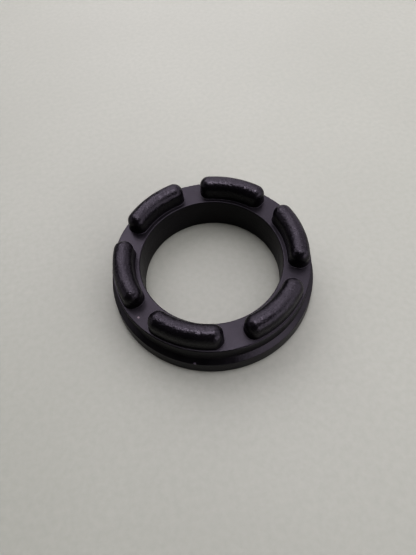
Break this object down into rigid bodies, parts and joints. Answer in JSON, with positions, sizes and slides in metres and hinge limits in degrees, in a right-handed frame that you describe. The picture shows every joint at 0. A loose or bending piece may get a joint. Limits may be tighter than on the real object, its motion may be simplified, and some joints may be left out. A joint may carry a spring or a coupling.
{
  "type": "bump stop",
  "caption": "Moulded rubber stop ring with a straight bore, a wider base flange and raised, rounded arc lobes on its top face that cushion an impact.",
  "frame": {"origin": "centre of the bore on the base plane that the flange stands on", "axes": "+Z along the bore axis, from the base flange towards the lobes; +X through the middle of one lobe"},
  "size_m": [0.0558, 0.0558, 0.0149],
  "materials": {
    "rubber": "satin black moulded rubber with a fine moulded grain"
  },
  "bodies": {
    "root": {"bump_stop_ring": "rubber"}
  },
  "joints": []
}
